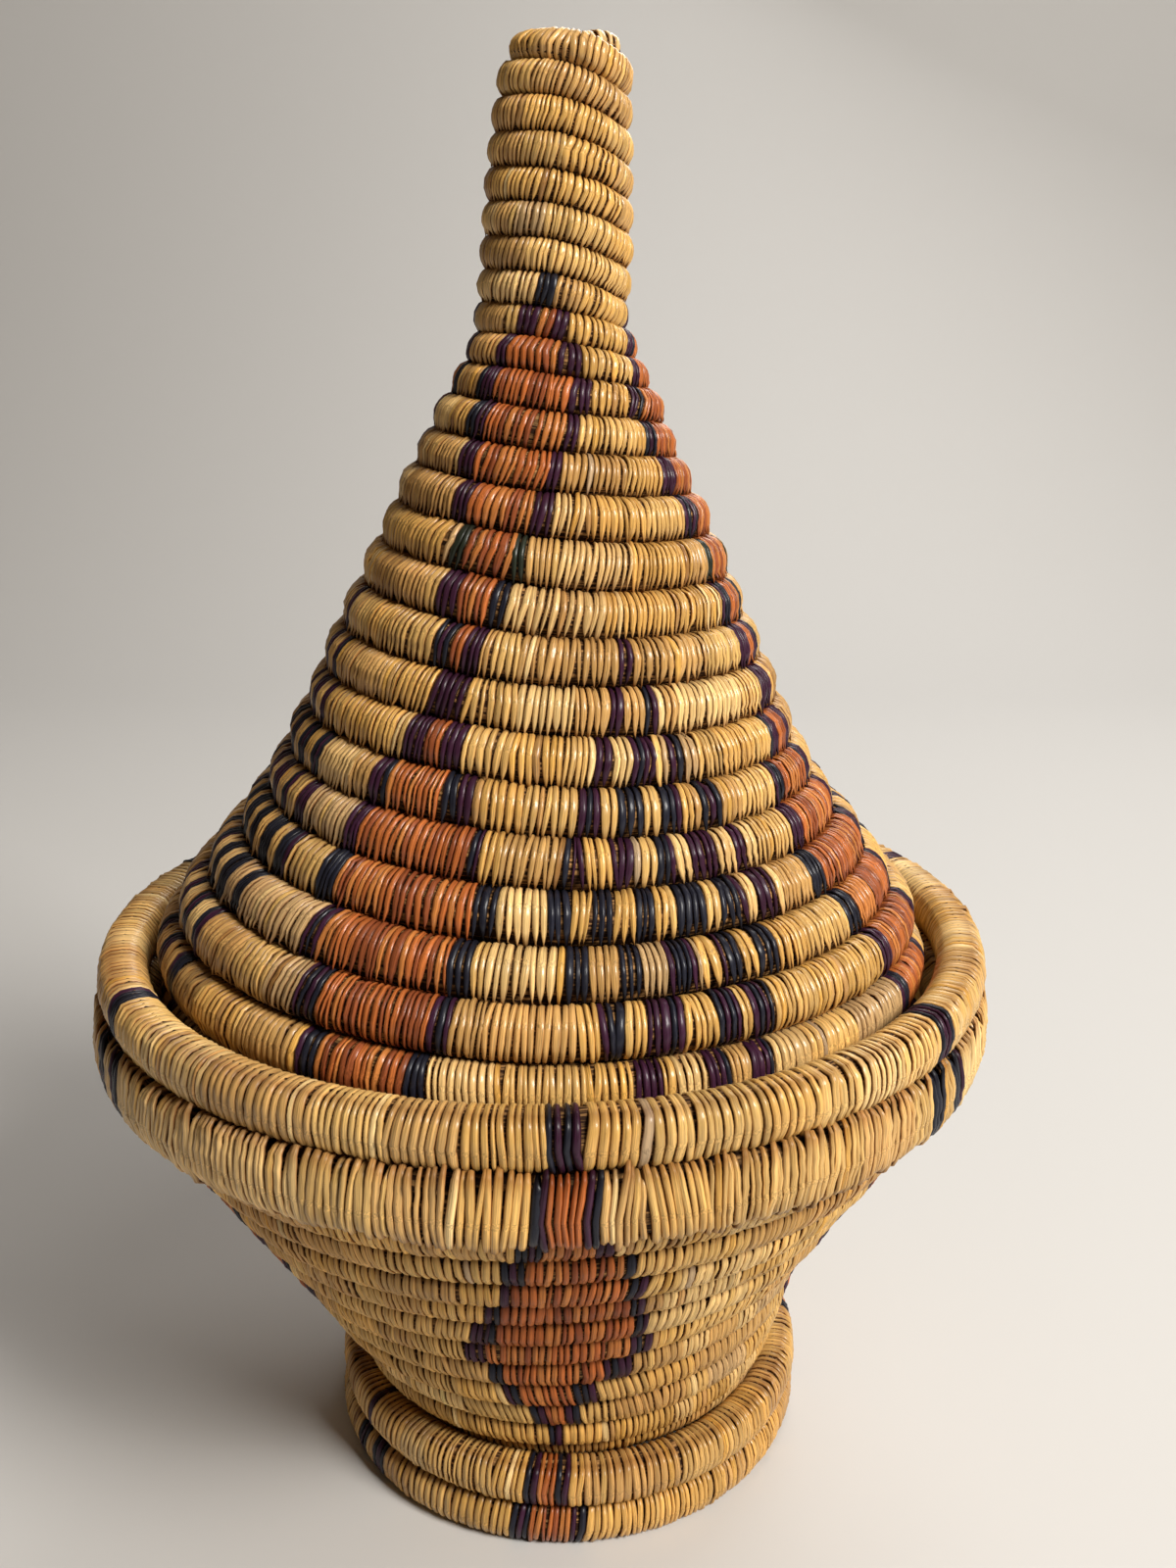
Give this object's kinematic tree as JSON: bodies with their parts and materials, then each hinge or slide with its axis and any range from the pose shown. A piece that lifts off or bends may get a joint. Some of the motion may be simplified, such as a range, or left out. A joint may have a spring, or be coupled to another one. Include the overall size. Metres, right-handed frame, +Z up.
{
  "type": "lidded coiled basket",
  "caption": "Coiled fibre basket on a ring foot: flaring round body with a thick double rim and a lift-off conical lid drawn up into a tall narrow spire",
  "frame": {"origin": "floor level under the basket, on the axis of the rim and lid; the ring foot stands a little to +X of it", "axes": "+Z up through the lid, -Y towards the viewer of the picture, +X to the viewer's right"},
  "size_m": [0.3384, 0.3384, 0.5258],
  "materials": {
    "straw": "semi-gloss split fibre bound over a fibre bundle",
    "golden_straw": "semi-gloss split fibre bound over a fibre bundle",
    "pale_straw": "semi-gloss split fibre bound over a thick fibre bundle"
  },
  "bodies": {
    "base": {"foot_coil": "pale_straw", "body_coil_01": "straw", "body_coil_02": "straw", "body_coil_03": "straw", "body_coil_04": "straw", "body_coil_05": "straw", "body_coil_06": "straw", "body_coil_07": "straw", "body_coil_08": "straw", "body_coil_09": "straw", "rim_coil_lower": "pale_straw", "rim_coil_upper": "pale_straw"},
    "lid": {"lid_coil_01": "golden_straw", "lid_coil_02": "golden_straw", "lid_coil_03": "golden_straw", "lid_coil_04": "golden_straw", "lid_coil_05": "golden_straw", "lid_coil_06": "golden_straw", "lid_coil_07": "golden_straw", "lid_coil_08": "golden_straw", "lid_coil_09": "golden_straw", "lid_coil_10": "golden_straw", "lid_coil_11": "golden_straw"}
  },
  "joints": [
    {"name": "lid_lift", "type": "slide", "parent": "base", "child": "lid", "axis": [0, 0, 1], "range_m": [0, 0.12]}
  ]
}
